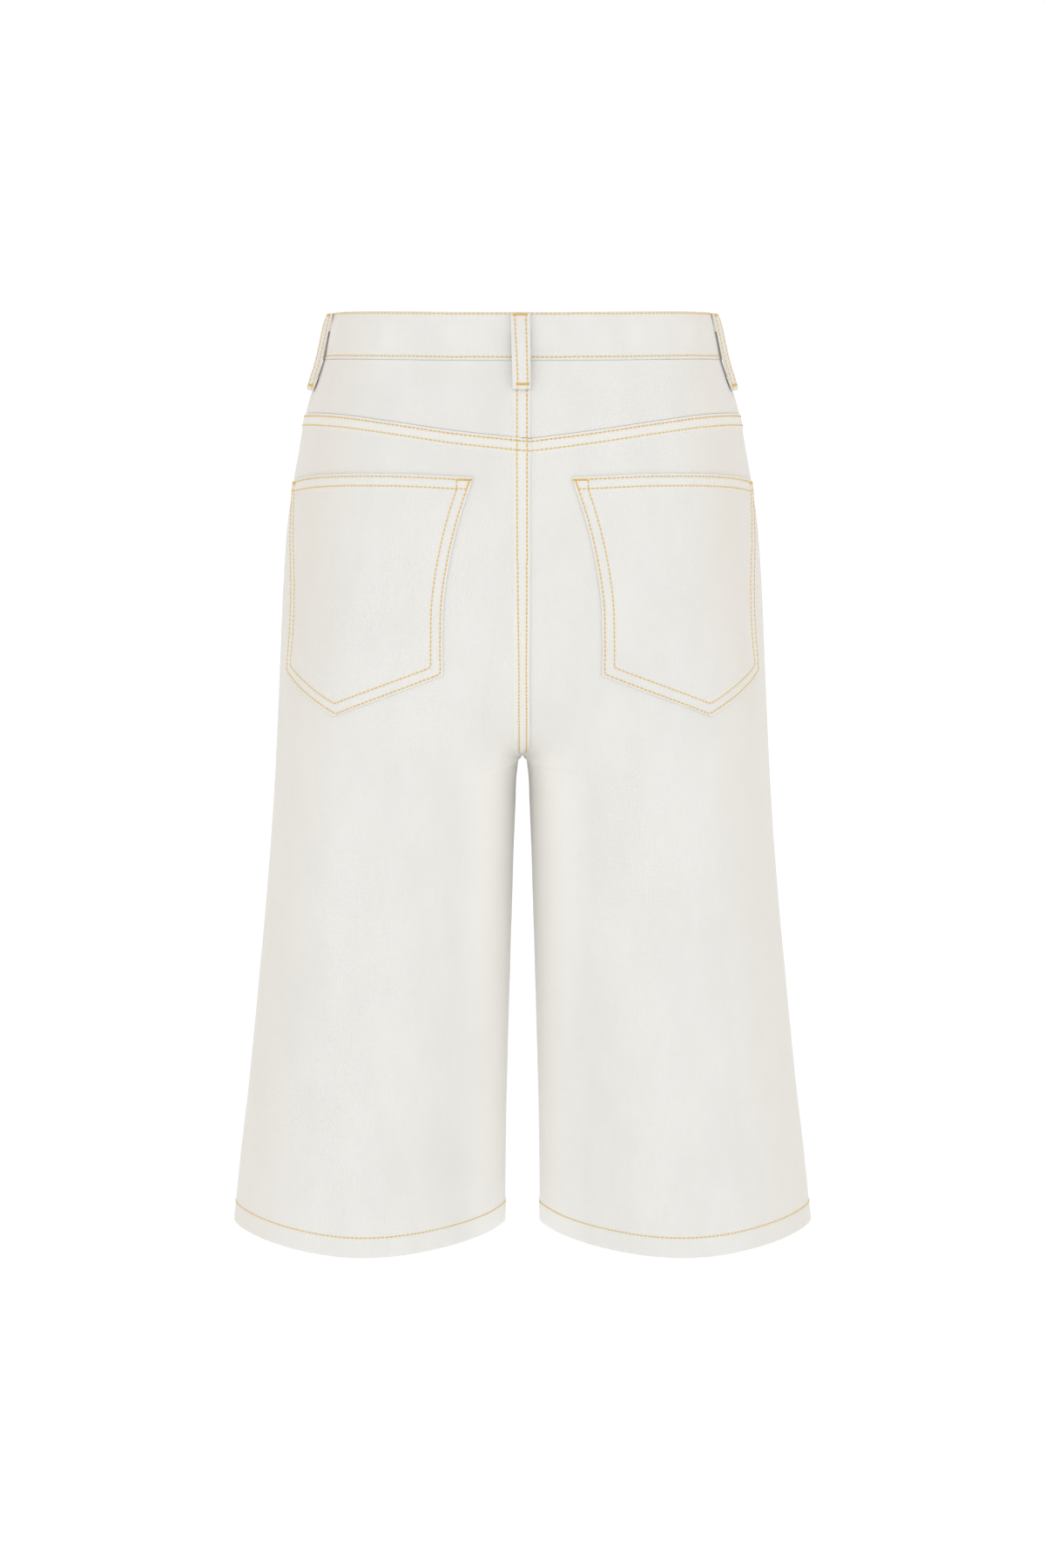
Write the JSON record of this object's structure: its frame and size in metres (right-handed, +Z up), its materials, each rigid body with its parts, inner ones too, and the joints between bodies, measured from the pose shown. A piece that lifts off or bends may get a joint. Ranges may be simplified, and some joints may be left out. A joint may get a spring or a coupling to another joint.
{
  "type": "capri pants",
  "caption": "Knee-length wide denim capris, filled out as if worn, with a waistband, belt loops, a back yoke, patch back pockets, a zip fly with a waist button, and turned-up hems",
  "frame": {"origin": "the middle of the waist opening, half way up the waistband, where a waist or a hanger holds the garment", "axes": "+Z up; the wearer faces -Y, so the back with its pockets faces +Y; +X is the wearer's left"},
  "size_m": [0.4468, 0.2308, 0.7047],
  "materials": {
    "denim": "off-white cotton twill, matt, with golden topstitching in the dressed scene",
    "zip_tape": "off-white woven zip tape",
    "brass": "plain brushed brass, no mark"
  },
  "bodies": {
    "root": {"waistband": "denim", "yoke_left": "denim", "yoke_right": "denim", "back_left": "denim", "back_right": "denim", "front_left": "denim", "front_right": "denim", "pocket_left": "denim", "pocket_right": "denim", "loop_back": "denim", "loop_side_left": "denim", "loop_side_right": "denim", "loop_front_left": "denim", "loop_front_right": "denim", "fly_shield": "denim", "fly_zip": "zip_tape", "zip_slider": "brass", "waist_button": "brass"}
  },
  "joints": []
}
